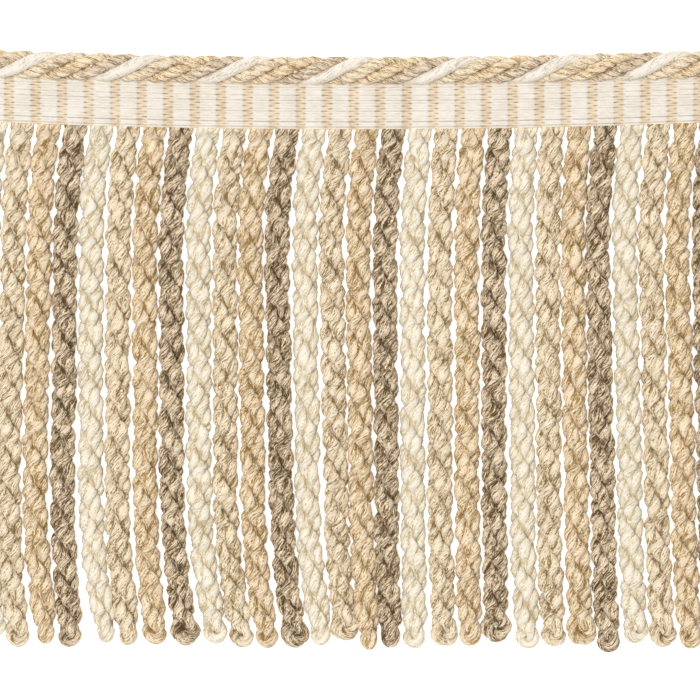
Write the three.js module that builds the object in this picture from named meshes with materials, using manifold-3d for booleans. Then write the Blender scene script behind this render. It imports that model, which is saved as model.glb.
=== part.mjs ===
// A cut length of bullion fringe trim, lying face up and flat.
// It is a four-strand lip cord sewn along the top of a ribbed woven heading tape, with a skirt
// of twisted, looped strands hanging from the tape's lower edge.
// Millimetres. X runs along the trim, +Y points to the lip cord, +Z is the face side,
// and Z = 0 is the surface that the trim lies on.

import * as THREE from 'three';
import { mergeVertices } from 'three/addons/utils/BufferGeometryUtils.js';
import Module from 'manifold-3d';

const wasm = await Module();
wasm.setup();

// The whole trim
const strandPitch = 6.63;
const strandCount = 28;
const trimLength = strandPitch * strandCount;
const middleDip = 1.9;
const sewnGap = 0.3;

// Lip cord: four strands laid together, each strand one lobe of the section
const cordRadius = 3.25;
const cordStrandRadius = 1.35;
const cordValleyRadius = 2.3;
const cordTurn = 26.23;
const cordAxisY = 72.1;
const cordLobes = 4;
const cordSides = 16;
const cordStepsPerTurn = 16;
const cordFrontX = -82.5;

// Heading tape: a rep band with a raised rib over each strand
const tapeHeight = 11;
const tapeTopY = cordAxisY - cordRadius - sewnGap;
const tapeFootY = tapeTopY - tapeHeight;
const ribThickness = 2.5;
const columnThickness = 1.8;
const ribHalfFlat = 1.5;
const ribHalfFoot = 2.2;
const tapeEdgeRound = 0.5;
const ribEdgeRise = 0.2;

// Backing strip: the line of stitching that the strands hang from
const stripHeight = 1.6;
const stripThickness = 2.6;
const stripTopY = tapeFootY - sewnGap;

// Strands: each is a yarn folded double and twisted on itself, with its fold at the free end
const strandHalfWide = 2.95;
const strandHalfNarrow = 2.2;
const rootHalfWide = 2.4;
const rootHalfNarrow = 1;
const rootDepth = 0.4;
const rootAngle = THREE.MathUtils.degToRad(-14);
const loopExtraWide = 0.35;
const loopRound = 2.4;
const loopShoulder = 0.8;
const stepsPerHalfTurn = 2.9;
const lowestTipY = -75.35;
const highShare = 0.24;
const lowShare = 0.7;

// One row for each strand, from left to right. short is how far its end stops above the lowest
// one, halfTurns its twist, and high, low and tip how far it leans sideways on its way down.
const strandRows = [
  { short: 3.7, halfTurns: 14.5, high: -2.2, low: -3.4, tip: -0.5 },
  { short: 1.5, halfTurns: 14.25, high: -2.2, low: -3.5, tip: -1.2 },
  { short: 2.2, halfTurns: 14.5, high: -2.4, low: -3.5, tip: -0.7 },
  { short: 1.2, halfTurns: 14.75, high: -2.5, low: -3.2, tip: -1.2 },
  { short: 2.5, halfTurns: 14.5, high: -2.7, low: -2.8, tip: 1.0 },
  { short: 1.7, halfTurns: 14.5, high: -2.5, low: -2.8, tip: 0.0 },
  { short: 1.9, halfTurns: 14.2, high: -2.5, low: -2.4, tip: 0.0 },
  { short: 1.8, halfTurns: 14.0, high: -2.6, low: -2.4, tip: 1.0 },
  { short: 2.1, halfTurns: 14.25, high: -2.4, low: -2.2, tip: 2.1 },
  { short: 1.2, halfTurns: 14.75, high: -2.4, low: -2.2, tip: 1.7 },
  { short: 0.9, halfTurns: 14.25, high: -2.7, low: -2.0, tip: 1.3 },
  { short: 1.2, halfTurns: 14.0, high: -2.7, low: -1.6, tip: 1.9 },
  { short: 1.7, halfTurns: 14.5, high: -2.3, low: -1.6, tip: 1.6 },
  { short: 2.9, halfTurns: 15.0, high: -2.4, low: -1.2, tip: 1.1 },
  { short: 0.7, halfTurns: 14.5, high: -2.3, low: -1.5, tip: 0.4 },
  { short: 1.2, halfTurns: 14.25, high: -2.2, low: -1.8, tip: -0.9 },
  { short: 0.9, halfTurns: 14.0, high: -1.9, low: -1.8, tip: -1.3 },
  { short: 1.5, halfTurns: 14.0, high: -1.7, low: -1.7, tip: -0.6 },
  { short: 1.8, halfTurns: 14.3, high: -1.6, low: -1.5, tip: -0.8 },
  { short: 2.6, halfTurns: 15.0, high: -1.5, low: -1.4, tip: -0.8 },
  { short: 0.8, halfTurns: 14.25, high: -1.4, low: -0.9, tip: 0.2 },
  { short: 1.5, halfTurns: 14.75, high: -1.3, low: -1.0, tip: 0.0 },
  { short: 1.7, halfTurns: 14.0, high: -1.6, low: -0.8, tip: 0.7 },
  { short: 0.0, halfTurns: 14.75, high: -2.1, low: -0.8, tip: 0.7 },
  { short: 2.3, halfTurns: 14.2, high: -2.0, low: -0.6, tip: 0.8 },
  { short: 1.2, halfTurns: 14.1, high: -2.1, low: -0.5, tip: 1.0 },
  { short: 1.0, halfTurns: 14.9, high: -2.1, low: -0.5, tip: 1.2 },
  { short: 1.2, halfTurns: 14.75, high: -2.0, low: -0.6, tip: 1.0 },
];

// The trim lies in a slight sag: the middle of its length is a little lower than its two ends.
function dip(x) {
  const share = x / (trimLength / 2);
  return middleDip * (1 - share * share);
}

function ringCentre(ring) {
  const sum = ring.reduce((total, point) => total.map((value, axis) => value + point[axis]));
  return sum.map((value) => value / ring.length);
}

// Joins a row of rings into one closed body. Each ring turns the same way round the path.
function loft(rings) {
  const sides = rings[0].length;
  const last = (rings.length - 1) * sides;
  const startCentre = rings.length * sides;
  const endCentre = startCentre + 1;
  const index = [];
  for (let ring = 0; ring < rings.length - 1; ring += 1) {
    for (let side = 0; side < sides; side += 1) {
      const a = ring * sides + side;
      const b = ring * sides + ((side + 1) % sides);
      index.push(a, b, b + sides, a, b + sides, a + sides);
    }
  }
  for (let side = 0; side < sides; side += 1) {
    const next = (side + 1) % sides;
    index.push(startCentre, next, side);
    index.push(endCentre, last + side, last + next);
  }
  const points = [...rings.flat(), ringCentre(rings[0]), ringCentre(rings[rings.length - 1])];
  const geometry = new THREE.BufferGeometry();
  geometry.setAttribute('position', new THREE.Float32BufferAttribute(points.flat(), 3));
  geometry.setIndex(index);
  return geometry;
}

// Radius of the cord's section at an angle from the nearest lobe's crest.
function lobeRadius(offset) {
  const centre = cordRadius - cordStrandRadius;
  const across = centre * Math.sin(offset);
  const depth = Math.max(cordStrandRadius ** 2 - across ** 2, 0);
  const radius = centre * Math.cos(offset) + Math.sqrt(depth);
  return Math.max(radius, cordValleyRadius);
}

// Four lobes that climb to the right across the face as the cord turns.
function lipCord() {
  const steps = Math.round((trimLength / cordTurn) * cordStepsPerTurn);
  const lobeAngle = (2 * Math.PI) / cordLobes;
  const rings = [];
  for (let step = 0; step <= steps; step += 1) {
    const x = -trimLength / 2 + (trimLength * step) / steps;
    const turn = Math.PI / 2 - (2 * Math.PI * (x - cordFrontX)) / cordTurn;
    const ring = [];
    for (let side = 0; side < cordSides; side += 1) {
      const around = (2 * Math.PI * side) / cordSides;
      const offset = around - lobeAngle * Math.round(around / lobeAngle);
      const radius = lobeRadius(offset);
      const y = cordAxisY - dip(x) + radius * Math.cos(turn + around);
      const z = cordRadius + radius * Math.sin(turn + around);
      ring.push([x, y, z]);
    }
    rings.push(ring);
  }
  return loft(rings);
}

// One section of the tape: flat underneath, with rounded long edges on the face.
function tapeSection(x, thickness, rise) {
  const foot = tapeFootY - dip(x);
  const top = tapeTopY - dip(x) - ribEdgeRise + rise;
  return [
    [x, foot, 0],
    [x, top, 0],
    [x, top, thickness - tapeEdgeRound],
    [x, top - tapeEdgeRound, thickness],
    [x, foot + tapeEdgeRound, thickness],
    [x, foot, thickness - tapeEdgeRound],
  ];
}

// The woven band, with a raised rib in front of each strand and a lower column between ribs.
function headingTape() {
  const rings = [tapeSection(-trimLength / 2, columnThickness, 0)];
  for (let strand = 0; strand < strandCount; strand += 1) {
    const x = rootX(strand);
    rings.push(tapeSection(x - ribHalfFoot, columnThickness, 0));
    rings.push(tapeSection(x - ribHalfFlat, ribThickness, ribEdgeRise));
    rings.push(tapeSection(x + ribHalfFlat, ribThickness, ribEdgeRise));
    rings.push(tapeSection(x + ribHalfFoot, columnThickness, 0));
    rings.push(tapeSection(x + strandPitch / 2, columnThickness, 0));
  }
  return loft(rings);
}

function rootX(strand) {
  return (strand - (strandCount - 1) / 2) * strandPitch;
}

// Sideways lean of a strand: out quickly below the tape, steady, then across to its tip.
function lean(row, share) {
  if (share < highShare) {
    const left = 1 - share / highShare;
    return row.high * (1 - left * left);
  }
  if (share < lowShare) {
    const along = (share - highShare) / (lowShare - highShare);
    return THREE.MathUtils.lerp(row.high, row.low, along);
  }
  const along = (share - lowShare) / (1 - lowShare);
  return THREE.MathUtils.lerp(row.low, row.tip, along * along);
}

// A four-sided ring across a strand, its wide corners at the given angle.
function strandRing(x, y, z, angle, halfWide, halfNarrow) {
  const ring = [];
  for (let corner = 0; corner < 4; corner += 1) {
    const reach = corner % 2 === 0 ? halfWide : halfNarrow;
    const around = angle + (corner * Math.PI) / 2;
    ring.push([x + reach * Math.cos(around), y, z + reach * Math.sin(around)]);
  }
  return ring;
}

// A folded and twisted strand: its root in the backing strip, a rounded loop at its free end.
function strandBody(strand) {
  const row = strandRows[strand];
  const x = rootX(strand);
  const topY = stripTopY - dip(x) - rootDepth;
  const tipY = lowestTipY + row.short;
  const fall = topY - tipY;
  const steps = Math.round(stepsPerHalfTurn * row.halfTurns);
  const rings = [strandRing(x, topY, stripThickness / 2, rootAngle, rootHalfWide, rootHalfNarrow)];
  for (let step = 1; step <= steps; step += 1) {
    const share = (step / steps) * (1 - loopRound / fall);
    const angle = rootAngle - Math.PI * row.halfTurns * share;
    const loopWide = step === steps ? loopExtraWide * Math.cos(angle) ** 2 : 0;
    const wide = strandHalfWide + loopWide;
    const y = topY - fall * share;
    rings.push(strandRing(x + lean(row, share), y, strandHalfWide, angle, wide, strandHalfNarrow));
  }
  const tipAngle = rootAngle - Math.PI * row.halfTurns;
  const tipX = x + row.tip;
  const shoulder = loopShoulder * strandHalfWide;
  rings.push(strandRing(tipX, tipY + loopRound / 4, strandHalfWide, tipAngle, shoulder, 1.6));
  rings.push(strandRing(tipX, tipY, strandHalfWide, tipAngle, shoulder / 2, 0.8));
  return loft(rings);
}

// The strip that holds the strands' roots together, following the tape's lower edge.
function backingStrip() {
  const rings = [];
  for (let station = 0; station <= strandCount; station += 1) {
    const x = (station - strandCount / 2) * strandPitch;
    const top = stripTopY - dip(x);
    rings.push([
      [x, top - stripHeight, 0],
      [x, top, 0],
      [x, top, stripThickness],
      [x, top - stripHeight, stripThickness],
    ]);
  }
  return loft(rings);
}

function toSolid(geometry) {
  const bare = mergeVertices(geometry);
  const mesh = new wasm.Mesh({
    numProp: 3,
    vertProperties: new Float32Array(bare.attributes.position.array),
    triVerts: new Uint32Array(bare.index.array),
  });
  return new wasm.Manifold(mesh);
}

function toGeometry(solid) {
  const mesh = solid.getMesh();
  const geometry = new THREE.BufferGeometry();
  geometry.setAttribute('position', new THREE.BufferAttribute(mesh.vertProperties, 3));
  geometry.setIndex(new THREE.BufferAttribute(mesh.triVerts, 1));
  return geometry;
}

// Every strand stands apart below the strip that carries it.
function bullionSkirt() {
  let skirt = toSolid(backingStrip());
  for (let strand = 0; strand < strandCount; strand += 1) {
    skirt = skirt.add(toSolid(strandBody(strand)));
  }
  return toGeometry(skirt);
}

function piece(name, geometry, colour, roughness) {
  const material = new THREE.MeshStandardMaterial({ color: colour, roughness, metalness: 0 });
  const mesh = new THREE.Mesh(geometry, material);
  mesh.name = name;
  return mesh;
}

const trim = new THREE.Group();
trim.add(piece('lip_cord', lipCord(), '#d8c4a0', 0.9));
trim.add(piece('heading_tape', headingTape(), '#ebe1cf', 0.9));
trim.add(piece('bullion_skirt', bullionSkirt(), '#cbb890', 0.95));

// The origin is under the middle of the trim's extent.
const extent = new THREE.Box3().setFromObject(trim);
const middle = extent.getCenter(new THREE.Vector3());
trim.position.set(-middle.x, -middle.y, -extent.min.z);

export default trim;
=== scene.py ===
import math

import bpy
import numpy as np
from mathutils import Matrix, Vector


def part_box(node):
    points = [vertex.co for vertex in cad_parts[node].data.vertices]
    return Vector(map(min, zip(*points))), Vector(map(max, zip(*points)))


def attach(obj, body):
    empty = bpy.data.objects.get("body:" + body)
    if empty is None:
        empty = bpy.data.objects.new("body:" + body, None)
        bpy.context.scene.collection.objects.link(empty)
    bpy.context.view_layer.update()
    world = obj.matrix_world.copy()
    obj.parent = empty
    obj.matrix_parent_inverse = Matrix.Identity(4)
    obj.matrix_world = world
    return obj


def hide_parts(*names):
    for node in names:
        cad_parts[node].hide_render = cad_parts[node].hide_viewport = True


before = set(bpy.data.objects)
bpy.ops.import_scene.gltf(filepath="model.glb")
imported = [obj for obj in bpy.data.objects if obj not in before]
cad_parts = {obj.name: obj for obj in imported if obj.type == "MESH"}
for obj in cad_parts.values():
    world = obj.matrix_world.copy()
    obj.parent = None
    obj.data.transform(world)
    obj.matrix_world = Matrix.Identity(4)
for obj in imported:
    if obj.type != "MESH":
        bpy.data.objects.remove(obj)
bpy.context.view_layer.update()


# The photograph's view: straight down on the laid trim, with the lip cord at the top of the picture.
# The trim's sizes below are in millimetres from its own middle, which the row's frame has moved a little.
MM = 0.001
LOWEST_TIP = -75.35
tape_low, tape_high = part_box("heading_tape")
skirt_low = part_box("bullion_skirt")[0]
MOVED_X = (tape_low.x + tape_high.x) / 2 / MM
MOVED_Y = skirt_low.y / MM - LOWEST_TIP
PICTURE_WIDE = 175.0
PICTURE_X = -0.955
PICTURE_Y = 0.35
CAMERA_HEIGHT = 1600.0
FACE_HEIGHT = 3.0
SENSOR_WIDE = 36.0
NEAREST_SEEN = 0.05
FURTHEST_SEEN = 20.0


def in_row(x, y, z):
    """A point of the trim, in millimetres, as a point of the row's frame, in metres."""
    return ((x + MOVED_X) * MM, (y + MOVED_Y) * MM, z * MM)


bpy.ops.object.select_all(action="DESELECT")
bpy.ops.object.camera_add(location=in_row(PICTURE_X, PICTURE_Y, FACE_HEIGHT + CAMERA_HEIGHT))
camera = bpy.context.object
camera.name = "photo_camera"
camera.data.sensor_width = SENSOR_WIDE
camera.data.lens = SENSOR_WIDE * CAMERA_HEIGHT / PICTURE_WIDE
camera.data.clip_start = NEAREST_SEEN
camera.data.clip_end = FURTHEST_SEEN
bpy.context.scene.camera = camera
bpy.context.scene.view_settings.view_transform = "Standard"


# The studio: a plain near-white table that glows a little, as a light table does, so that the narrow
# gaps between the strands stay pale, one large soft lamp above the cord's side, and an even white room.
TABLE_TOP = -0.05
TABLE_WIDE = 6.0
TABLE_COLOUR = (0.9, 0.895, 0.88, 1.0)
TABLE_ROUGHNESS = 0.9
TABLE_GLOSS = 0.1
TABLE_GLOW = 0.56
GLOW_COLOUR = (1.0, 0.995, 0.985, 1.0)
LAMP_PLACE = (-0.4, 0.15, 2.5)
LAMP_WIDE = 1.1
LAMP_POWER = 41.0
LAMP_COLOUR = (1.0, 0.985, 0.96)
ROOM_COLOUR = (1.0, 1.0, 1.0, 1.0)
ROOM_LIGHT = 0.5

bpy.ops.mesh.primitive_plane_add(size=TABLE_WIDE, location=(0.0, 0.0, TABLE_TOP * MM))
table_top = bpy.context.object
table_top.name = "pale_table"
table_paint = bpy.data.materials.new("pale table")
table_paint.use_nodes = True
table_shader = table_paint.node_tree.nodes["Principled BSDF"]
table_shader.inputs["Base Color"].default_value = TABLE_COLOUR
table_shader.inputs["Roughness"].default_value = TABLE_ROUGHNESS
table_shader.inputs["Specular IOR Level"].default_value = TABLE_GLOSS
table_shader.inputs["Emission Color"].default_value = GLOW_COLOUR
table_shader.inputs["Emission Strength"].default_value = TABLE_GLOW
table_top.data.materials.append(table_paint)

bpy.ops.object.light_add(type="AREA", location=LAMP_PLACE)
lamp = bpy.context.object
lamp.name = "soft_lamp"
lamp.data.shape = "DISK"
lamp.data.size = LAMP_WIDE
lamp.data.energy = LAMP_POWER
lamp.data.color = LAMP_COLOUR
lamp.rotation_euler = (-lamp.location).to_track_quat("-Z", "Y").to_euler()
lamp.visible_camera = False

room = bpy.data.worlds.new("white room")
room.use_nodes = True
room_shader = room.node_tree.nodes["Background"]
room_shader.inputs["Color"].default_value = ROOM_COLOUR
room_shader.inputs["Strength"].default_value = ROOM_LIGHT
bpy.context.scene.world = room


# The lip cord: three plied yarns, natural, tan and brown, and one smooth cream roving, laid together
# round a core of the natural yarn and sewn along the tape's top edge. Both ends are cut off square.
TRIM_LENGTH = 185.64
MIDDLE_DIP = 1.9
CORD_AXIS_Y = 72.1
CORD_RADIUS = 3.25
CORD_TURN = 26.23
CORD_FRONT_X = -82.5
CORD_STRAND_ORBIT = 2.1
CORD_STRANDS = 4
CORD_FILL = 0.03
CORD_PLIES = 3
CORD_PLY_RADIUS = 0.92
CORD_PLY_ORBIT = 0.6
CORD_PLY_PITCH = 6.6
CORD_PLY_SIDES = 8
CORD_PLY_SWELL = 0.05
CORD_SWELL_LENGTH = 2.1
CORD_SWELL_LONGER = 0.4
CORD_STEP = 0.6
CORD_TUCK_FROM = 0.55
CORD_CORE_RADIUS = 1.7
ROVING_RADIUS = 1.5
ROVING_SIDES = 16
ROVING_SWELL = 0.03
ROVING_SWELL_LENGTH = 2.3
ROVING_RIPPLE = 0.02
ROVING_RIPPLE_LENGTH = 0.9
FLOOR_GAP = 0.02

# The flat layout that every yarn's colours are read from: upright cells side by side, each one for half
# of a yarn's length, with the cut ends above and below it.
LAYOUT_CELLS = 57
CELL_EDGE = 0.06
CELL_LOW = 0.02
CELL_HIGH = 0.98
CELL_LENGTH = 150.0
END_WIDE = 0.4
END_HIGH = 0.005
END_APART = 0.01


def dip(x):
    """How far the laid trim sags at a place along its length."""
    return MIDDLE_DIP * (1 - (x / (TRIM_LENGTH / 2)) ** 2)


def ease(low, high, value):
    """Rises smoothly from 0 at low to 1 at high."""
    share = np.clip((value - low) / (high - low), 0, 1)
    return share * share * (3 - 2 * share)


def ply_rings(line, out, side, orbit, turn, radius, wide, squeeze, sides):
    """The rings of one ply that winds about a yarn's centre line. Out and side span the yarn's section.
    Wide is how much wider the ply is than deep, and squeeze flattens the yarn on its neighbour's side."""
    around = np.arange(sides) * 2 * np.pi / sides
    outward = np.broadcast_to(orbit, turn.shape)[:, None] + radius[:, None] * np.cos(around)
    sideways = wide * radius[:, None] * np.sin(around)
    cosine = np.cos(turn)[:, None]
    sine = np.sin(turn)[:, None]
    across = outward * cosine - sideways * sine
    along = outward * sine + sideways * cosine
    across = np.where(across < 0, across * squeeze[:, None], across)
    return line[:, None] + across[..., None] * out[:, None] + along[..., None] * side[:, None]


def filled_out(rings, axis, lay):
    """Presses a cord strand's sides out against its neighbours, and says how far each place is tucked in
    between them, from 0 to 1: the mask of the painted shade in the grooves between strands."""
    offset = rings[..., 1:] - axis[:, None, 1:]
    turned = np.arctan2(offset[..., 1], offset[..., 0]) - lay[:, None]
    turned = (turned + np.pi) % (2 * np.pi) - np.pi
    share = np.clip(np.abs(turned) * CORD_STRANDS / np.pi, 0, 1)
    filled = rings.copy()
    filled[..., 1:] = axis[:, None, 1:] + offset * (1 + CORD_FILL * share**2)[..., None]
    filled[..., 2] = np.maximum(filled[..., 2], FLOOR_GAP)
    return filled, ease(CORD_TUCK_FROM, 1.0, share)


def laid_out(rings, cell, travelled, tucked=0.0):
    """A yarn's rings with their place on the flat layout, a cell for each half of the yarn, and with how
    far each corner is tucked in."""
    half = travelled[-1] / 2
    second = travelled[1:] > half
    start = np.where(second, travelled[1:][second][0] - (travelled[1] - travelled[0]), 0.0)
    left = (cell + second + CELL_EDGE) / LAYOUT_CELLS
    wide = (1 - 2 * CELL_EDGE) / LAYOUT_CELLS
    scale = (CELL_HIGH - CELL_LOW) / CELL_LENGTH
    low = CELL_LOW + (travelled[:-1] - start) * scale
    high = CELL_LOW + (travelled[1:] - start) * scale
    return rings, left, wide, low, high, np.broadcast_to(tucked, rings.shape[:2])


def yarn_mesh(name, tubes):
    """One piece of all the tubes, each closed at its cut ends and with its own place on the flat layout."""
    places = []
    corners = []
    face_sizes = []
    layout = []
    tucks = []
    first = 0
    for rings, left, wide, low, high, tucked in tubes:
        steps, sides = rings.shape[:2]
        side = np.arange(sides)
        start = first + np.arange(steps - 1)[:, None] * sides
        here = start + side
        beside = start + (side + 1) % sides
        quads = np.stack([here, beside, beside + sides, here + sides], axis=-1)
        near = left[:, None] + wide * side / sides
        far = near + wide / sides
        low = np.broadcast_to(low[:, None], near.shape)
        high = np.broadcast_to(high[:, None], near.shape)
        across = np.stack([near, far, far, near], axis=-1)
        upward = np.stack([low, low, high, high], axis=-1)
        end_ring = first + (steps - 1) * sides + side
        end_x = wide * (0.5 + END_WIDE * np.cos(2 * np.pi * side / sides))
        end_y = END_HIGH * np.sin(2 * np.pi * side / sides)
        start_end = np.stack([left[0] + end_x, low[0, 0] - END_APART + end_y], axis=-1)
        far_end = np.stack([left[-1] + end_x, high[-1, 0] + END_APART + end_y], axis=-1)
        places.append(rings.reshape(-1, 3))
        tucks.append(tucked.ravel())
        corners += [quads.ravel(), first + side[::-1], end_ring]
        face_sizes += [np.full(quads.shape[0] * sides, 4), np.array([sides, sides])]
        layout += [np.stack([across.ravel(), upward.ravel()], axis=-1), start_end[::-1], far_end]
        first += steps * sides
    places = np.concatenate(places) + np.array([MOVED_X, MOVED_Y, 0.0])
    corners = np.concatenate(corners)
    face_sizes = np.concatenate(face_sizes)
    layout = np.concatenate(layout)
    mesh = bpy.data.meshes.new(name)
    mesh.vertices.add(len(places))
    mesh.vertices.foreach_set("co", (places * MM).ravel())
    mesh.loops.add(len(corners))
    mesh.loops.foreach_set("vertex_index", corners.astype(np.int32))
    mesh.polygons.add(len(face_sizes))
    face_starts = np.concatenate([[0], np.cumsum(face_sizes)[:-1]])
    mesh.polygons.foreach_set("loop_start", face_starts.astype(np.int32))
    mesh.uv_layers.new(name="OFBake").data.foreach_set("uv", layout.ravel())
    mesh.update(calc_edges=True)
    mesh.attributes.new("tucked", "FLOAT", "POINT").data.foreach_set("value", np.concatenate(tucks))
    mesh.validate()
    mesh.shade_smooth()
    piece = bpy.data.objects.new(name, mesh)
    bpy.context.scene.collection.objects.link(piece)
    return piece


def node(tree, kind, **settings):
    """Adds a shader node with the given settings."""
    made = tree.nodes.new(kind)
    for name, value in settings.items():
        setattr(made, name, value)
    return made


def feed(tree, target, value):
    """Links a socket to an input, or sets the input's own value."""
    if isinstance(value, bpy.types.NodeSocket):
        tree.links.new(value, target)
    else:
        target.default_value = value


def sum_node(tree, operation, first, second=0.0, third=0.0):
    """A math node on two or three values."""
    made = node(tree, "ShaderNodeMath", operation=operation)
    for target, value in zip(made.inputs, (first, second, third)):
        feed(tree, target, value)
    return made.outputs[0]


def noise(tree, place, scale, detail):
    """Noise at a place, from 0 to 1."""
    made = node(tree, "ShaderNodeTexNoise")
    feed(tree, made.inputs["Vector"], place)
    made.inputs["Scale"].default_value = scale
    made.inputs["Detail"].default_value = detail
    return made.outputs["Fac"]


def point_of(tree, x, y, z):
    """Puts three values together as a place."""
    made = node(tree, "ShaderNodeCombineXYZ")
    for target, value in zip(made.inputs, (x, y, z)):
        feed(tree, target, value)
    return made.outputs[0]


def blend_of(tree, share, first, second):
    """A mix of two colours."""
    made = node(tree, "ShaderNodeMix", data_type="RGBA")
    feed(tree, made.inputs[0], share)
    feed(tree, made.inputs[6], first)
    feed(tree, made.inputs[7], second)
    return made.outputs[2]


def ramp_of(tree, value, low, high):
    """Rises smoothly from 0 at low to 1 at high."""
    made = node(tree, "ShaderNodeMapRange", interpolation_type="SMOOTHSTEP")
    for target, amount in zip(made.inputs, (value, low, high, 0.0, 1.0)):
        feed(tree, target, amount)
    return made.outputs["Result"]


# The grain of spun fibre. Each noise has its scale and its detail, how fast it changes along the yarn, and
# a shift from cell to cell. Each depth says how much that part lightens or darkens the yarn.
SLUB_NOISE = (0.32, 1.0)
SLUB_SHIFT = 11.9
SLUB_DEPTH = 1.6
STREAK_NOISE = (3.2, 1.5)
STREAK_ALONG = 0.12
STREAK_SHIFT = 7.13
STREAK_DEPTH = 3.6
STREAK_RELIEF = 0.4
FINE_NOISE = (4.6, 1.0)
FINE_ALONG = 0.45
FINE_SHIFT = 3.37
FINE_DEPTH = 3.2
FINE_RELIEF = 0.9
FLECK_NOISE = (1.25, 1.0)
FLECK_ALONG = 0.55
FLECK_RANGE = (0.52, 0.68)
CELL_TONE_DEPTH = 0.12
# Painted shade in the creases on each ply's sides, where it meets its neighbours.
CREASE_SHADE_WIDE = 1.1
CREASE_SHADE_DEPTH = 0.25
# Painted shade where the yarn lies tucked in between plies, legs and cord strands, and in patches there.
TUCKED_SHADE_DEPTH = 0.12
HOLLOW_SHADE_RANGE = (0.55, 0.4)
HOLLOW_SHADE_DEPTH = 0.75
MEAN_TONE = 3.68
DARK_TO_MIDDLE = (0.0, 0.5)
MIDDLE_TO_LIGHT = (0.45, 1.15)
YARN_RELIEF = 0.8
YARN_RELIEF_DEEP = 0.16
YARN_ROUGHNESS = 0.82
YARN_GLOSS = 0.25
YARN_SHEEN = 0.25
YARN_SHEEN_ROUGHNESS = 0.5


def spun_yarn_group():
    """Spun fibre as it lies along a ply: streaks and fine grain, slubs and flecks, and painted shade in the
    creases between plies and where the yarn is tucked in.
    """
    tree = bpy.data.node_groups.new("Spun yarn", "ShaderNodeTree")
    for name, kind in (
        ("Layout", "NodeSocketVector"),
        ("Tucked shade", "NodeSocketFloat"),
        ("Crease shade start", "NodeSocketFloat"),
        ("Light fibre", "NodeSocketColor"),
        ("Middle fibre", "NodeSocketColor"),
        ("Dark fibre", "NodeSocketColor"),
        ("Fleck", "NodeSocketFloat"),
        ("Lightness", "NodeSocketFloat"),
    ):
        tree.interface.new_socket(name=name, in_out="INPUT", socket_type=kind)
    tree.interface.new_socket(name="Colour", in_out="OUTPUT", socket_type="NodeSocketColor")
    tree.interface.new_socket(name="Height", in_out="OUTPUT", socket_type="NodeSocketFloat")
    given = node(tree, "NodeGroupInput").outputs
    result = node(tree, "NodeGroupOutput").inputs
    parts = node(tree, "ShaderNodeSeparateXYZ")
    feed(tree, parts.inputs[0], given["Layout"])
    cells = sum_node(tree, "MULTIPLY", parts.outputs[0], float(LAYOUT_CELLS))
    cell = sum_node(tree, "FLOOR", cells)
    inside = sum_node(tree, "SUBTRACT", sum_node(tree, "SUBTRACT", cells, cell), CELL_EDGE)
    around = sum_node(tree, "MULTIPLY", inside, 2 * math.pi / (1 - 2 * CELL_EDGE))
    upward = sum_node(tree, "SUBTRACT", parts.outputs[1], CELL_LOW)
    along = sum_node(tree, "MULTIPLY", upward, CELL_LENGTH / (CELL_HIGH - CELL_LOW))
    x = sum_node(tree, "COSINE", around)
    y = sum_node(tree, "SINE", around)
    slub_z = sum_node(tree, "MULTIPLY_ADD", cell, SLUB_SHIFT, along)
    streak_shift = sum_node(tree, "MULTIPLY", cell, STREAK_SHIFT)
    streak_z = sum_node(tree, "MULTIPLY_ADD", along, STREAK_ALONG, streak_shift)
    fine_shift = sum_node(tree, "MULTIPLY", cell, FINE_SHIFT)
    fine_z = sum_node(tree, "MULTIPLY_ADD", along, FINE_ALONG, fine_shift)
    fleck_z = sum_node(tree, "MULTIPLY", slub_z, FLECK_ALONG)
    slubs = noise(tree, point_of(tree, x, y, slub_z), *SLUB_NOISE)
    streaks = noise(tree, point_of(tree, x, y, streak_z), *STREAK_NOISE)
    fine = noise(tree, point_of(tree, x, y, fine_z), *FINE_NOISE)
    flecks = noise(tree, point_of(tree, x, y, fleck_z), *FLECK_NOISE)
    tone = node(tree, "ShaderNodeTexWhiteNoise", noise_dimensions="1D")
    feed(tree, tone.inputs["W"], cell)
    # Painted shade: darker towards a ply's sides, where it meets the plies beside it.
    crease_shade = ramp_of(tree, sum_node(tree, "SUBTRACT", x, given["Crease shade start"]), CREASE_SHADE_WIDE, 0.0)
    # Painted shade where the yarn is tucked in, darker still in patches.
    hollow_shade = sum_node(tree, "MULTIPLY", ramp_of(tree, slubs, *HOLLOW_SHADE_RANGE), given["Tucked shade"])
    fleck = sum_node(tree, "MULTIPLY", ramp_of(tree, flecks, *FLECK_RANGE), given["Fleck"])
    value = sum_node(tree, "MULTIPLY_ADD", streaks, STREAK_DEPTH, given["Lightness"])
    for part, depth in (
        (fine, FINE_DEPTH),
        (slubs, SLUB_DEPTH),
        (tone.outputs["Value"], CELL_TONE_DEPTH),
        (crease_shade, -CREASE_SHADE_DEPTH),
        (given["Tucked shade"], -TUCKED_SHADE_DEPTH),
        (hollow_shade, -HOLLOW_SHADE_DEPTH),
    ):
        value = sum_node(tree, "MULTIPLY_ADD", part, depth, value)
    value = sum_node(tree, "SUBTRACT", value, MEAN_TONE)
    value = sum_node(tree, "SUBTRACT", value, fleck)
    shade = ramp_of(tree, value, *DARK_TO_MIDDLE)
    light = ramp_of(tree, value, *MIDDLE_TO_LIGHT)
    colour = blend_of(tree, shade, given["Dark fibre"], given["Middle fibre"])
    feed(tree, result["Colour"], blend_of(tree, light, colour, given["Light fibre"]))
    streak_height = sum_node(tree, "MULTIPLY", streaks, STREAK_RELIEF)
    height = sum_node(tree, "MULTIPLY_ADD", fine, FINE_RELIEF, streak_height)
    feed(tree, result["Height"], height)
    return tree


def dye(red, green, blue):
    """A dyed colour, given as it shows on a screen from 0 to 255, as the shader's own linear values."""
    shown = [value / 255 for value in (red, green, blue)]
    return tuple(v / 12.92 if v <= 0.04045 else ((v + 0.055) / 1.055) ** 2.4 for v in shown) + (1.0,)


spun_yarn = spun_yarn_group()


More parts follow.
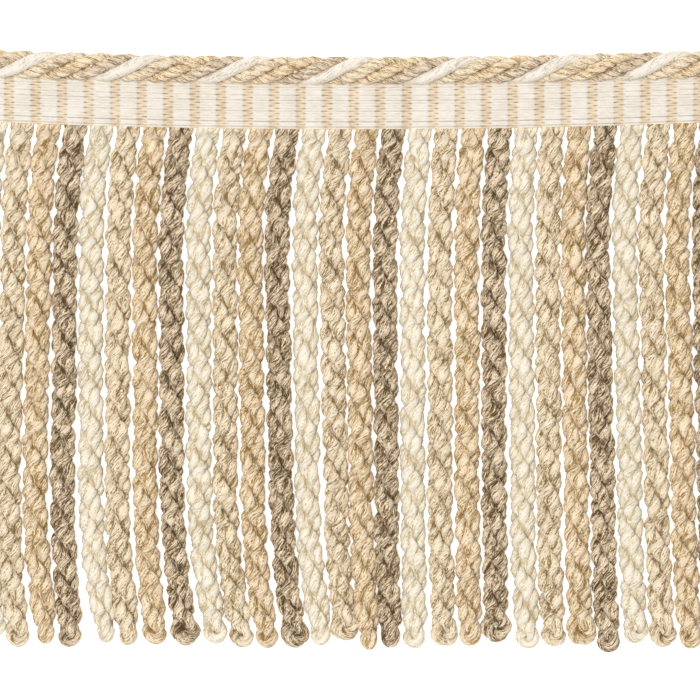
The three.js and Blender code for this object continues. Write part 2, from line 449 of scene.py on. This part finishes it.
def yarn_material(name, light, middle, dark, fleck, lightness, crease_shade_start):
    """Matt spun yarn in three tones of one colour, with the fibres' grain and relief."""
    material = bpy.data.materials.new(name)
    material.use_nodes = True
    tree = material.node_tree
    shader = tree.nodes["Principled BSDF"]
    layout = node(tree, "ShaderNodeUVMap", uv_map="OFBake")
    fibres = node(tree, "ShaderNodeGroup", node_tree=spun_yarn)
    feed(tree, fibres.inputs["Layout"], layout.outputs["UV"])
    tucked = node(tree, "ShaderNodeAttribute", attribute_name="tucked")
    feed(tree, fibres.inputs["Tucked shade"], tucked.outputs["Fac"])
    fibres.inputs["Crease shade start"].default_value = crease_shade_start
    fibres.inputs["Light fibre"].default_value = light
    fibres.inputs["Middle fibre"].default_value = middle
    fibres.inputs["Dark fibre"].default_value = dark
    fibres.inputs["Fleck"].default_value = fleck
    fibres.inputs["Lightness"].default_value = lightness
    relief = node(tree, "ShaderNodeBump")
    relief.inputs["Strength"].default_value = YARN_RELIEF
    relief.inputs["Distance"].default_value = YARN_RELIEF_DEEP * MM
    feed(tree, relief.inputs["Height"], fibres.outputs["Height"])
    feed(tree, shader.inputs["Base Color"], fibres.outputs["Colour"])
    feed(tree, shader.inputs["Normal"], relief.outputs["Normal"])
    shader.inputs["Roughness"].default_value = YARN_ROUGHNESS
    shader.inputs["Specular IOR Level"].default_value = YARN_GLOSS
    shader.inputs["Sheen Weight"].default_value = YARN_SHEEN
    shader.inputs["Sheen Roughness"].default_value = YARN_SHEEN_ROUGHNESS
    return material


# Each yarn's light, middle and dark fibre, how dark its flecks are, how much lighter it is dyed than the
# mean, and how wide the painted shade in the creases beside its plies is. The smooth roving hardly shows
# any.
NO_CREASE_SHADE = -1.6
CORD_CREASE_SHADE = -0.09
cord_yarns = {
    "cream": yarn_material(
        "cream roving", dye(245, 238, 227), dye(235, 227, 212), dye(208, 195, 174),
        fleck=0.0, lightness=0.25, crease_shade_start=NO_CREASE_SHADE,
    ),
    "natural": yarn_material(
        "natural cord yarn", dye(252, 239, 214), dye(236, 215, 180), dye(156, 122, 78),
        fleck=0.15, lightness=0.3, crease_shade_start=CORD_CREASE_SHADE,
    ),
    "tan": yarn_material(
        "tan cord yarn", dye(252, 236, 206), dye(234, 206, 162), dye(160, 120, 70),
        fleck=0.15, lightness=0.3, crease_shade_start=CORD_CREASE_SHADE,
    ),
    "brown": yarn_material(
        "taupe cord yarn", dye(246, 230, 205), dye(214, 190, 158), dye(136, 108, 76),
        fleck=0.2, lightness=0.28, crease_shade_start=CORD_CREASE_SHADE,
    ),
}

cord_steps = round(TRIM_LENGTH / CORD_STEP)
cord_x = np.linspace(-TRIM_LENGTH / 2, TRIM_LENGTH / 2, cord_steps)
cord_slope = 2 * np.pi * CORD_STRAND_ORBIT / CORD_TURN
cord_travelled = (cord_x - cord_x[0]) * math.hypot(1, cord_slope)
for place, yarn in enumerate(cord_yarns):
    lay = np.pi / 2 - 2 * np.pi * (cord_x - CORD_FRONT_X) / CORD_TURN + place * np.pi / 2
    out = np.stack([0 * cord_x, np.cos(lay), np.sin(lay)], axis=-1)
    ahead = np.stack([1 + 0 * cord_x, cord_slope * np.sin(lay), -cord_slope * np.cos(lay)], axis=-1)
    ahead /= math.hypot(1, cord_slope)
    side = np.cross(ahead, out)
    middle = np.stack([cord_x, CORD_AXIS_Y - dip(cord_x), CORD_RADIUS + 0 * cord_x], axis=-1)
    line = middle + CORD_STRAND_ORBIT * out
    even = np.ones(cord_steps)
    tubes = []
    if yarn == "cream":
        swell = ROVING_SWELL * np.sin(cord_x / ROVING_SWELL_LENGTH)
        ripple = ROVING_RIPPLE * np.sin(cord_x / ROVING_RIPPLE_LENGTH + 1)
        radius = ROVING_RADIUS * (1 + swell + ripple)
        rings = ply_rings(line, out, side, 0.0, 0 * cord_x, radius, 1, even, ROVING_SIDES)
        rings, tucked = filled_out(rings, middle, lay)
        tubes.append(laid_out(rings, 0, cord_travelled, tucked))
    else:
        for ply in range(CORD_PLIES):
            turn = 2 * np.pi * (cord_travelled / CORD_PLY_PITCH + ply / CORD_PLIES) + place
            swell_length = CORD_SWELL_LENGTH + CORD_SWELL_LONGER * ply
            radius = CORD_PLY_RADIUS * (1 + CORD_PLY_SWELL * np.sin(cord_x / swell_length + 2 * ply))
            rings = ply_rings(line, out, side, CORD_PLY_ORBIT, turn, radius, 1, even, CORD_PLY_SIDES)
            rings, tucked = filled_out(rings, middle, lay)
            tubes.append(laid_out(rings, 2 * ply, cord_travelled, tucked))
    if yarn == "natural":
        core_out = np.broadcast_to(np.array([0.0, 1.0, 0.0]), line.shape)
        core_side = np.broadcast_to(np.array([0.0, 0.0, 1.0]), line.shape)
        radius = CORD_CORE_RADIUS * even
        core = ply_rings(middle, core_out, core_side, 0.0, 0 * cord_x, radius, 1, even, CORD_PLY_SIDES)
        # The core counts as fully tucked in, so it is painted in the full tucked shade.
        tubes.append(laid_out(core, 2 * CORD_PLIES, cord_travelled, 1.0))
    piece = yarn_mesh("lip_cord_" + yarn, tubes)
    piece.data.materials.append(cord_yarns[yarn])
    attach(piece, "root")
    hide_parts("lip_cord")


# The heading tape: a narrow woven band. Each strand's root runs up inside it as a rib, and fine threads
# that run along the band pass over the ribs in cream and dip between them in beige.
TAPE_FOOT = 57.55
TAPE_TOP = 68.55
STRAND_PITCH = 6.63
STRAND_COUNT = 28
RIB_HALF = 2.25
RIB_EASE = 0.45
RIB_TOP = 1.92
COLUMN_TOP = 1.55
BAND_BACK = 0.3
BAND_PARTS = 12
BAND_ROWS = 8
BAND_CREASE = math.radians(50)
FLANGE_HIGH = 1.4
FLANGE_TOP = 0.8
FLANGE_STEP = (0.1, 0.6)
FACE_THREADS = 17
FIRST_THREAD = 0.45
LAST_THREAD_PAST = 0.2
THREAD_RADIUS = 0.385
THREAD_SIDES = 6
THREAD_STEP = 0.4
THREAD_UNEVEN = 0.06
THREAD_LIFT = (0.6, 0.85)
THREAD_THICK = (0.9, 1.08)
THREAD_WANDER = 0.1
THREAD_RISE = 0.09
SELVEDGE_Y = 0.16
SELVEDGE_RADIUS = 0.3
SELVEDGE_SWAY = 0.05
SELVEDGE_LIFT = 0.35
SELVEDGE_FOLLOW = 0.75
BACK_THREADS = 12
BACK_THREAD_RADIUS = 0.3
BACK_THREAD_SIDES = 5
chance = np.random.default_rng(28)


def from_rib(x):
    """How far a place is from the middle of the nearest rib, with its side."""
    shifted = x / STRAND_PITCH + 0.5 * (STRAND_COUNT % 2 == 0)
    return (shifted - np.round(shifted)) * STRAND_PITCH


def band_top(x):
    """The band's height: high on a rib and low in the column between two ribs."""
    in_column = ease(RIB_HALF - RIB_EASE, RIB_HALF, np.abs(from_rib(x)))
    return COLUMN_TOP + (RIB_TOP - COLUMN_TOP) * (1 - in_column)


band_high = TAPE_TOP + FLANGE_HIGH - TAPE_FOOT
bpy.ops.object.select_all(action="DESELECT")
bpy.ops.mesh.primitive_grid_add(
    x_subdivisions=STRAND_COUNT * BAND_PARTS,
    y_subdivisions=BAND_ROWS,
    size=1,
    location=(0, 0, 0),
)
band = bpy.context.object
band.name = "heading_tape_band"
bpy.ops.object.mode_set(mode="EDIT")
bpy.ops.mesh.select_all(action="SELECT")
bpy.ops.mesh.extrude_region_move(TRANSFORM_OT_translate={"value": (0, 0, -1)})
bpy.ops.mesh.select_all(action="SELECT")
bpy.ops.mesh.normals_make_consistent(inside=False)
bpy.ops.object.mode_set(mode="OBJECT")
for vertex in band.data.vertices:
    x = vertex.co.x * TRIM_LENGTH
    up = (vertex.co.y + 0.5) * band_high
    past_top = up - (TAPE_TOP - TAPE_FOOT)
    flange = float(ease(*FLANGE_STEP, past_top))
    top = float(band_top(x)) * (1 - flange) + FLANGE_TOP * flange
    z = top if vertex.co.z > -0.5 else BAND_BACK
    vertex.co = in_row(x, TAPE_FOOT + up - dip(x), z)
bpy.ops.object.shade_smooth_by_angle(angle=BAND_CREASE)


def thread(y, height, radius, wander, rise, sides):
    """One thread that runs along the whole band."""
    steps = round(TRIM_LENGTH / THREAD_STEP)
    x = np.linspace(-TRIM_LENGTH / 2, TRIM_LENGTH / 2, steps)
    sway = np.sin(2 * np.pi * from_rib(x + STRAND_PITCH / 2) / (2 * (STRAND_PITCH - 2 * RIB_HALF)))
    between = ease(RIB_HALF - RIB_EASE, RIB_HALF, np.abs(from_rib(x)))
    line = np.stack([x, y - dip(x) + wander * sway * between, height(x) + rise * sway * between], axis=-1)
    out = np.broadcast_to(np.array([0.0, 1.0, 0.0]), line.shape)
    side = np.broadcast_to(np.array([0.0, 0.0, 1.0]), line.shape)
    even = np.ones(steps)
    return ply_rings(line, out, side, 0.0, 0 * x, radius * even, 1, even, sides), x - x[0]


face_tubes = []
thread_pitch = (TAPE_TOP - TAPE_FOOT + LAST_THREAD_PAST) / FACE_THREADS
for row in range(FACE_THREADS):
    over = 1 if row % 2 else -1
    uneven = chance.uniform(-THREAD_UNEVEN, THREAD_UNEVEN)
    y = TAPE_FOOT + FIRST_THREAD + thread_pitch * (row + 0.5) + uneven
    lift = THREAD_RADIUS * chance.uniform(*THREAD_LIFT)
    rings, travelled = thread(
        y,
        lambda x, lift=lift: band_top(x) + lift,
        THREAD_RADIUS * chance.uniform(*THREAD_THICK),
        THREAD_WANDER * over,
        THREAD_RISE * over,
        THREAD_SIDES,
    )
    face_tubes.append(laid_out(rings, 2 * row, travelled))
selvedge_rings, travelled = thread(
    TAPE_FOOT + SELVEDGE_Y,
    lambda x: band_top(x) * SELVEDGE_FOLLOW + SELVEDGE_LIFT,
    SELVEDGE_RADIUS,
    SELVEDGE_SWAY,
    SELVEDGE_SWAY,
    THREAD_SIDES,
)
face_tubes.append(laid_out(selvedge_rings, 2 * FACE_THREADS, travelled))
face_threads = yarn_mesh("heading_tape_threads", face_tubes)

back_tubes = []
back_pitch = (TAPE_TOP - TAPE_FOOT) / BACK_THREADS
for row in range(BACK_THREADS):
    over = 1 if row % 2 else -1
    y = TAPE_FOOT + back_pitch * (row + 0.5)
    rings, travelled = thread(
        y,
        lambda x: BACK_THREAD_RADIUS + FLOOR_GAP + 0 * x,
        BACK_THREAD_RADIUS,
        THREAD_WANDER * over,
        0.0,
        BACK_THREAD_SIDES,
    )
    back_tubes.append(laid_out(rings, 2 * row, travelled))
back_threads = yarn_mesh("heading_tape_back", back_tubes)


# The tape's grain runs along its threads. It softens the edge between rib and column, and with larger
# patches it lightens or darkens the thread.
GRAIN_STRETCH = (0.22, 1.0, 1.0)
GRAIN_NOISE = (2600.0, 2.0)
PATCH_NOISE = (260.0, 1.0)
GRAIN_DEPTH = 1.2
PATCH_DEPTH = 0.7
TAPE_TONES = (0.65, 1.2)
COLUMN_BLUR = 0.2
COLUMN_EDGE = (0.38, 0.47)
TAPE_RELIEF = 0.6
TAPE_RELIEF_DEEP = 0.08
TAPE_ROUGHNESS = 0.8
TAPE_GLOSS = 0.25
TAPE_SHEEN = 0.2


def tape_material(name, rib_light, rib_dark, column_light, column_dark):
    """Matt woven thread that is cream over the ribs and beige between them."""
    material = bpy.data.materials.new(name)
    material.use_nodes = True
    tree = material.node_tree
    shader = tree.nodes["Principled BSDF"]
    place = node(tree, "ShaderNodeTexCoord").outputs["Object"]
    parts = node(tree, "ShaderNodeSeparateXYZ")
    feed(tree, parts.inputs[0], place)
    from_middle = sum_node(tree, "SUBTRACT", parts.outputs[0], MOVED_X * MM)
    ribs = sum_node(tree, "DIVIDE", from_middle, STRAND_PITCH * MM)
    share = sum_node(tree, "FRACT", sum_node(tree, "ADD", ribs, float(STRAND_COUNT)))
    from_rib_middle = sum_node(tree, "ABSOLUTE", sum_node(tree, "SUBTRACT", share, 0.5))
    grain_place = node(tree, "ShaderNodeVectorMath", operation="MULTIPLY")
    feed(tree, grain_place.inputs[0], place)
    grain_place.inputs[1].default_value = GRAIN_STRETCH
    grain = noise(tree, grain_place.outputs[0], *GRAIN_NOISE)
    patches = noise(tree, place, *PATCH_NOISE)
    edge = sum_node(tree, "MULTIPLY_ADD", grain, COLUMN_BLUR, from_rib_middle)
    on_column = ramp_of(tree, edge, *COLUMN_EDGE)
    grain_tone = sum_node(tree, "MULTIPLY", grain, GRAIN_DEPTH)
    tone = sum_node(tree, "MULTIPLY_ADD", patches, PATCH_DEPTH, grain_tone)
    bright = ramp_of(tree, tone, *TAPE_TONES)
    rib_colour = blend_of(tree, bright, rib_dark, rib_light)
    column_colour = blend_of(tree, bright, column_dark, column_light)
    feed(tree, shader.inputs["Base Color"], blend_of(tree, on_column, rib_colour, column_colour))
    relief = node(tree, "ShaderNodeBump")
    relief.inputs["Strength"].default_value = TAPE_RELIEF
    relief.inputs["Distance"].default_value = TAPE_RELIEF_DEEP * MM
    feed(tree, relief.inputs["Height"], grain)
    feed(tree, shader.inputs["Normal"], relief.outputs["Normal"])
    shader.inputs["Roughness"].default_value = TAPE_ROUGHNESS
    shader.inputs["Specular IOR Level"].default_value = TAPE_GLOSS
    shader.inputs["Sheen Weight"].default_value = TAPE_SHEEN
    return material


tape_thread = tape_material(
    "tape thread", dye(242, 237, 229), dye(232, 224, 211), dye(238, 223, 200), dye(217, 198, 169)
)
tape_ground = tape_material(
    "tape ground", dye(244, 240, 235), dye(235, 228, 218), dye(236, 221, 196), dye(218, 198, 167)
)
band.data.materials.append(tape_ground)
face_threads.data.materials.append(tape_thread)
back_threads.data.materials.append(tape_thread)
for piece in (band, face_threads, back_threads):
    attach(piece, "root")
    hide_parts("heading_tape")


# The bullion strands: each is one plied yarn, three plies of spun fibre, folded double and twisted on
# itself round a thin core, so that the fold stands as a round loop at its free end. Both roots are woven
# into the tape. A pair of values says where a change along the yarn starts and ends, in millimetres.
PLIES = 3
PLY_RADIUS = 1.2
PLY_WIDE = 1.12
PLY_ORBIT = 1.12
PLY_PITCH = 11.8
PITCH_UNEVEN = (0.96, 1.04)
TWIST_WAVER = 0.3
TWIST_WAVER_LENGTH = 30.0
PLY_SWELL = 0.11
PLY_SWELL_LENGTH = 18.0
PLY_SIDES = 8
CORE_RADIUS = 1.15
CORE_SIDES = 5
LEG_RADIUS = PLY_RADIUS + PLY_ORBIT
LEG_SPREAD = 1.04
LEG_WIDE = 1.18
LEG_FLAT = 0.93
TUCK_DEEP = 1.4
TUCK_OUT = 2.5
YARN_STEP = 0.7
AXIS_HEIGHT = 3.3
ROOT_HEIGHT = 1.25
ROOT_INSIDE = 0.8
ROOT_SPREAD = 1.3
ROOT_FULL = 0.78
ROOT_FLAT = 0.3
ROOT_ANGLE = math.radians(-14)
ROOT_DEPTH = 0.4
ROOT_RISES = (0.9, 5.0)
ROOT_ROUNDS = (0.6, 4.5)
ROOT_FILLS = (0.9, 5.5)
ROOT_PARTS = (1.5, 5.0)
ROOT_BARES = (1.5, 5.0)
STRIP_TOP = TAPE_FOOT - 0.3
WANDER = 0.14
WANDER_LENGTH = 45.0
WANDER_STARTS = (0, 12)
HIGH_SHARE = 0.24
LOW_SHARE = 0.7
LOOP_FULL = 0.84
LOOP_SPREAD = 1.4
LOOP_PLY_PITCH = 9.0
LOOP_TURN_LENGTH = 30.0
LOOP_STEPS = 9
LOOP_EASES = (5.0, 0.0)
LOOP_TWIST_ENDS = (4.0, 1.0)
LOOP_NARROWS = (1.5, 6.0)
WAVE_SHARES = (1.0, 0.55, 0.31, 0.17)
WAVE_SIZE = 2.2

# Each strand from left to right: how much shorter than the longest it hangs, its half turns, where it leans
# to at a quarter of its way down, at two thirds and at its tip, and how wide its loop shows, in millimetres.
STRANDS = [
    (3.7, 14.5, -2.2, -3.4, -0.5, 6.5),
    (1.5, 14.25, -2.2, -3.5, -1.2, 6.5),
    (2.2, 14.5, -2.4, -3.5, -0.7, 4.75),
    (1.2, 14.75, -2.5, -3.2, -1.2, 6.25),
    (2.5, 14.5, -2.7, -2.8, 1.0, 4.5),
    (1.7, 14.5, -2.5, -2.8, 0.0, 5.0),
    (1.9, 14.2, -2.5, -2.4, 0.0, 6.5),
    (1.8, 14.0, -2.6, -2.4, 1.0, 7.75),
    (2.1, 14.25, -2.4, -2.2, 2.1, 6.5),
    (1.2, 14.75, -2.4, -2.2, 1.7, 6.5),
    (0.9, 14.25, -2.7, -2.0, 1.3, 6.0),
    (1.2, 14.0, -2.7, -1.6, 1.9, 7.5),
    (1.7, 14.5, -2.3, -1.6, 1.6, 5.25),
    (2.9, 15.0, -2.4, -1.2, 1.1, 7.75),
    (0.7, 14.5, -2.3, -1.5, 0.4, 4.5),
    (1.2, 14.25, -2.2, -1.8, -0.9, 5.25),
    (0.9, 14.0, -1.9, -1.8, -1.3, 6.0),
    (1.5, 14.0, -1.7, -1.7, -0.6, 7.25),
    (1.8, 14.3, -1.6, -1.5, -0.8, 5.75),
    (2.6, 15.0, -1.5, -1.4, -0.8, 8.25),
    (0.8, 14.25, -1.4, -0.9, 0.2, 6.25),
    (1.5, 14.75, -1.3, -1.0, 0.0, 6.5),
    (1.7, 14.0, -1.6, -0.8, 0.7, 8.0),
    (0.0, 14.75, -2.1, -0.8, 0.7, 6.25),
    (2.3, 14.2, -2.0, -0.6, 0.8, 6.75),
    (1.2, 14.1, -2.1, -0.5, 1.0, 7.0),
    (1.0, 14.9, -2.1, -0.5, 1.2, 6.0),
    (1.2, 14.75, -2.0, -0.6, 1.0, 6.5),
]


def waves(travelled, longest):
    """A slow uneven change along a yarn, about from -1 to 1."""
    total = 0 * travelled
    for share in WAVE_SHARES:
        total += np.sin(2 * np.pi * travelled / (longest * share) + chance.uniform(0, 2 * np.pi))
    return total / WAVE_SIZE


def lean(share, high, low, tip):
    """How far a strand has moved sideways from its root at a share of its way down."""
    upper = high * (1 - (1 - np.clip(share / HIGH_SHARE, 0, 1)) ** 2)
    middle = (low - high) * np.clip((share - HIGH_SHARE) / (LOW_SHARE - HIGH_SHARE), 0, 1)
    lower = (tip - low) * np.clip((share - LOW_SHARE) / (1 - LOW_SHARE), 0, 1) ** 2
    return upper + middle + lower


def bullion_strand(number, first_cell):
    """The core and the three plies of one folded and twisted strand, as tubes."""
    short, half_turns, high, low, tip, loop_wide = STRANDS[number]
    root_x = (number - (STRAND_COUNT - 1) / 2) * STRAND_PITCH
    sag = dip(root_x)
    top = STRIP_TOP - sag - ROOT_DEPTH
    bottom = LOWEST_TIP + short
    twist = math.pi * half_turns
    loop_radius = LEG_RADIUS * LOOP_FULL
    shown_spread = loop_wide / 2 - loop_radius
    loop_spread = max(shown_spread, LOOP_SPREAD)
    facing = math.pi * round(half_turns) - math.acos(shown_spread / loop_spread)
    start = TAPE_FOOT - sag + ROOT_INSIDE
    fold = bottom + loop_spread + loop_radius
    steps = round((start - fold) / YARN_STEP)
    y = np.linspace(start, fold, steps)
    share = np.clip((top - y) / (top - bottom), 0, 1)
    left_to_turn = facing + ROOT_ANGLE - twist * share[-1]
    near_fold = np.clip(1 - (y - fold) / LOOP_TURN_LENGTH, 0, 1)
    angle = ROOT_ANGLE - twist * share - left_to_turn * near_fold**2
    from_root = start - y
    share = np.clip((top - y) / (top - fold), 0, 1)
    wander = WANDER * waves(y, WANDER_LENGTH) * ease(*WANDER_STARTS, from_root)
    x = root_x + lean(share, high, low, tip) + wander
    z = ROOT_HEIGHT + (AXIS_HEIGHT - ROOT_HEIGHT) * ease(*ROOT_RISES, from_root)
    flat = ROOT_FLAT + (LEG_FLAT - ROOT_FLAT) * ease(*ROOT_ROUNDS, from_root)
    full = ROOT_FULL + (1 - ROOT_FULL) * ease(*ROOT_FILLS, from_root)
    full = full + (LOOP_FULL - 1) * ease(*LOOP_EASES, y - fold)
    spread = ROOT_SPREAD + (LEG_SPREAD - ROOT_SPREAD) * ease(*ROOT_PARTS, from_root)
    spread = spread + (loop_spread - LEG_SPREAD) * ease(*LOOP_EASES, y - fold)
    middle = np.stack([x, y, z], axis=-1)
    out = np.stack([np.cos(angle), 0 * y, np.sin(angle)], axis=-1)
    side = np.stack([-np.sin(angle), 0 * y, np.cos(angle)], axis=-1)
    bend = np.linspace(0, np.pi, LOOP_STEPS + 2)[1:-1, None]
    down = np.array([0.0, -1.0, 0.0])
    loop_out = out[-1] * np.cos(bend) + down * np.sin(bend)
    loop_line = middle[-1] + loop_spread * loop_out
    loop_side = np.broadcast_to(side[-1], loop_out.shape)
    line = np.concatenate(
        [middle + spread[:, None] * out, loop_line, (middle - spread[:, None] * out)[::-1]]
    )
    outs = np.concatenate([out, loop_out, -out[::-1]])
    sides = np.concatenate([side, loop_side, side[::-1]])
    fulls = np.concatenate([full, np.full(LOOP_STEPS, LOOP_FULL), full[::-1]])
    spreads = np.concatenate([spread, np.full(LOOP_STEPS, loop_spread), spread[::-1]])
    heights = np.concatenate([z, np.full(LOOP_STEPS, z[-1]), z[::-1]])[:, None]
    flats = np.concatenate([flat, np.full(LOOP_STEPS, LEG_FLAT), flat[::-1]])[:, None]
    rolled = angle - angle[0]
    rolls = np.concatenate([rolled, np.full(LOOP_STEPS, rolled[-1]), rolled[::-1]])
    rolls[steps + LOOP_STEPS :] = 2 * rolled[-1] - rolls[steps + LOOP_STEPS :]
    middles = np.concatenate([middle, np.broadcast_to(middle[-1], loop_line.shape), middle[::-1]])
    loop_step = math.pi * loop_spread / (LOOP_STEPS + 1)
    lengths = np.concatenate(
        [np.full(steps - 1, YARN_STEP), np.full(LOOP_STEPS + 1, loop_step), np.full(steps - 1, YARN_STEP)]
    )
    travelled = np.concatenate([[0.0], np.cumsum(lengths)])
    from_loop = np.abs(travelled - travelled[-1] / 2)
    in_loop = ease(*LOOP_TWIST_ENDS, from_loop)
    pitch = PLY_PITCH * chance.uniform(*PITCH_UNEVEN)
    pitches = 1 / ((1 - in_loop) / pitch + in_loop / LOOP_PLY_PITCH)
    turned = np.concatenate([[0.0], np.cumsum(lengths / pitches[1:])])
    phase = chance.uniform(0, 2 * np.pi)
    wound = 2 * np.pi * turned - rolls + phase + TWIST_WAVER * waves(travelled, TWIST_WAVER_LENGTH)
    squeeze = np.minimum(spreads / (LEG_RADIUS * fulls), 1)
    wide_sides = sides * (1 + (LEG_WIDE - 1) * ease(*LOOP_NARROWS, from_loop))[:, None]
    bare = ease(*ROOT_BARES, np.minimum(travelled, travelled[-1] - travelled))
    core = ply_rings(middle, out, side, 0.0, 0 * y, CORE_RADIUS * full, 1, np.ones(steps), CORE_SIDES)
    core[..., 2] = np.maximum(z[:, None] + (core[..., 2] - z[:, None]) * flat[:, None], FLOOR_GAP)
    # The core counts as fully tucked in, so it is painted in the full tucked shade.
    tubes = [laid_out(core, first_cell + 2 * PLIES, start - y, 1.0)]
    for ply in range(PLIES):
        turn = wound + 2 * np.pi * ply / PLIES
        radius = PLY_RADIUS * fulls * (1 + PLY_SWELL * waves(travelled, PLY_SWELL_LENGTH))
        orbit = PLY_ORBIT * fulls
        rings = ply_rings(line, outs, wide_sides, orbit, turn, radius, PLY_WIDE, squeeze, PLY_SIDES)
        # How deep each place lies in the strand, kept off the roots: the mask of the painted shade between
        # plies and legs.
        depth = np.linalg.norm(rings - middles[:, None], axis=-1)
        tucked = (1 - ease(TUCK_DEEP, TUCK_OUT, depth)) * bare[:, None]
        rings[..., 2] = np.maximum(heights + (rings[..., 2] - heights) * flats, FLOOR_GAP)
        tubes.append(laid_out(rings, first_cell + 2 * ply, travelled, tucked))
    return tubes


# The loose fibres of the spun yarn: how many on a strand, how long and thick, how far they stand off, and
# how near a strand's cut ends they may grow, in steps of its yarn.
HAIRS = 70
HAIR_STEPS = 5
HAIR_SIDES = 3
HAIR_LENGTH = (1.2, 3.4)
HAIR_THICK = (0.03, 0.05)
HAIR_TAPER = 0.6
HAIR_LOW = 0.1
HAIR_ROOTED = 0.1
HAIR_STANDS = (0.25, 0.8)
HAIR_SWING = 0.5
HAIR_CURL = (0.2, 0.7)
HAIR_ACROSS = (0.3, 0.5, 0.8)
HAIR_CLEAR = 8
HAIR_CELL = (0.1, 0.9)


def hair(root, outward, ahead, number, count):
    """One loose fibre that stands off a ply and bends over."""
    length = chance.uniform(*HAIR_LENGTH)
    swing = chance.normal(0, HAIR_SWING, 3)
    aim = outward * chance.uniform(*HAIR_STANDS) + ahead * chance.uniform(-1, 1) + swing / 2
    aim /= np.linalg.norm(aim)
    curl = np.cross(aim, chance.normal(0, 1, 3)) * chance.uniform(*HAIR_CURL)
    share = np.linspace(0, 1, HAIR_STEPS)[:, None]
    line = root - outward * HAIR_ROOTED + length * (share * aim + share**2 * curl / 2)
    line[:, 2] = np.maximum(line[:, 2], HAIR_LOW)
    side = np.cross(aim, HAIR_ACROSS)
    side /= np.linalg.norm(side)
    out = np.cross(side, aim)
    thick = chance.uniform(*HAIR_THICK) * (1 - HAIR_TAPER * share)
    around = np.arange(HAIR_SIDES) * 2 * np.pi / HAIR_SIDES
    spokes = np.cos(around)[:, None] * out + np.sin(around)[:, None] * side
    rings = line[:, None] + thick[:, None] * spokes
    left = np.full(HAIR_STEPS - 1, (LAYOUT_CELLS - 1 + CELL_EDGE) / LAYOUT_CELLS)
    wide = (1 - 2 * CELL_EDGE) / LAYOUT_CELLS
    ends = CELL_LOW + (CELL_HIGH - CELL_LOW) * (number + np.linspace(*HAIR_CELL, HAIR_STEPS)) / count
    return rings, left, wide, ends[:-1], ends[1:], np.zeros(rings.shape[:2])


# The strands' yarns, each with the same values as a cord yarn has, and with narrower painted shade in the
# creases.
STRAND_CREASE_SHADE = -0.42
yarns = {
    "cream": yarn_material(
        "cream yarn", dye(252, 245, 228), dye(242, 230, 207), dye(208, 191, 151),
        fleck=0.1, lightness=0.21, crease_shade_start=STRAND_CREASE_SHADE,
    ),
    "natural": yarn_material(
        "natural yarn", dye(250, 236, 210), dye(229, 208, 175), dye(146, 121, 72),
        fleck=0.15, lightness=0.22, crease_shade_start=STRAND_CREASE_SHADE,
    ),
    "tan": yarn_material(
        "tan yarn", dye(250, 232, 203), dye(228, 202, 162), dye(160, 128, 70),
        fleck=0.15, lightness=0.16, crease_shade_start=STRAND_CREASE_SHADE,
    ),
    "brown": yarn_material(
        "brown yarn", dye(244, 226, 198), dye(190, 165, 131), dye(94, 72, 33),
        fleck=0.2, lightness=0.08, crease_shade_start=STRAND_CREASE_SHADE,
    ),
}

for first, yarn in enumerate(yarns):
    numbers = range(first, STRAND_COUNT, len(yarns))
    tubes = []
    for cell, number in enumerate(numbers):
        tubes += bullion_strand(number, cell * 2 * (PLIES + 1))
    plies = [tube for tube in tubes if tube[0].shape[1] == PLY_SIDES]
    hair_count = HAIRS * len(numbers)
    for number in range(hair_count):
        rings = plies[chance.integers(len(plies))][0]
        step = chance.integers(HAIR_CLEAR, len(rings) - HAIR_CLEAR)
        corner = chance.integers(PLY_SIDES)
        outward = rings[step, corner] - rings[step].mean(axis=0)
        outward /= np.linalg.norm(outward)
        ahead = rings[step + 1, corner] - rings[step, corner]
        ahead /= np.linalg.norm(ahead)
        tubes.append(hair(rings[step, corner], outward, ahead, number, hair_count))
    piece = yarn_mesh("bullion_" + yarn, tubes)
    piece.data.materials.append(yarns[yarn])
    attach(piece, "root")
    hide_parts("bullion_skirt")
